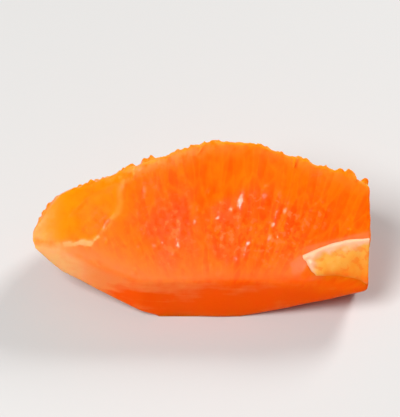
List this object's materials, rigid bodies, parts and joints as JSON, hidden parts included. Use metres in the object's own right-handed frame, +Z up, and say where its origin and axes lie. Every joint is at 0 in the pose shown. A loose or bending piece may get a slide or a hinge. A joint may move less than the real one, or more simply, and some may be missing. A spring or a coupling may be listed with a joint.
{
  "type": "orange segment",
  "caption": "Peeled orange segment trimmed free with a knife: a half-moon wedge of juice sacs with a toothed outer rim, lying on one flat side.",
  "frame": {"origin": "middle of the bounding box, at the flat side that the segment lies on", "axes": "+X along the segment towards its blunt cut end, +Y from the inner trimmed edge to the peeled outer face, +Z up"},
  "size_m": [0.056, 0.0266, 0.0249],
  "materials": {
    "flesh": null,
    "pith": null
  },
  "bodies": {
    "root": {"orange_segment": "flesh"}
  },
  "joints": []
}
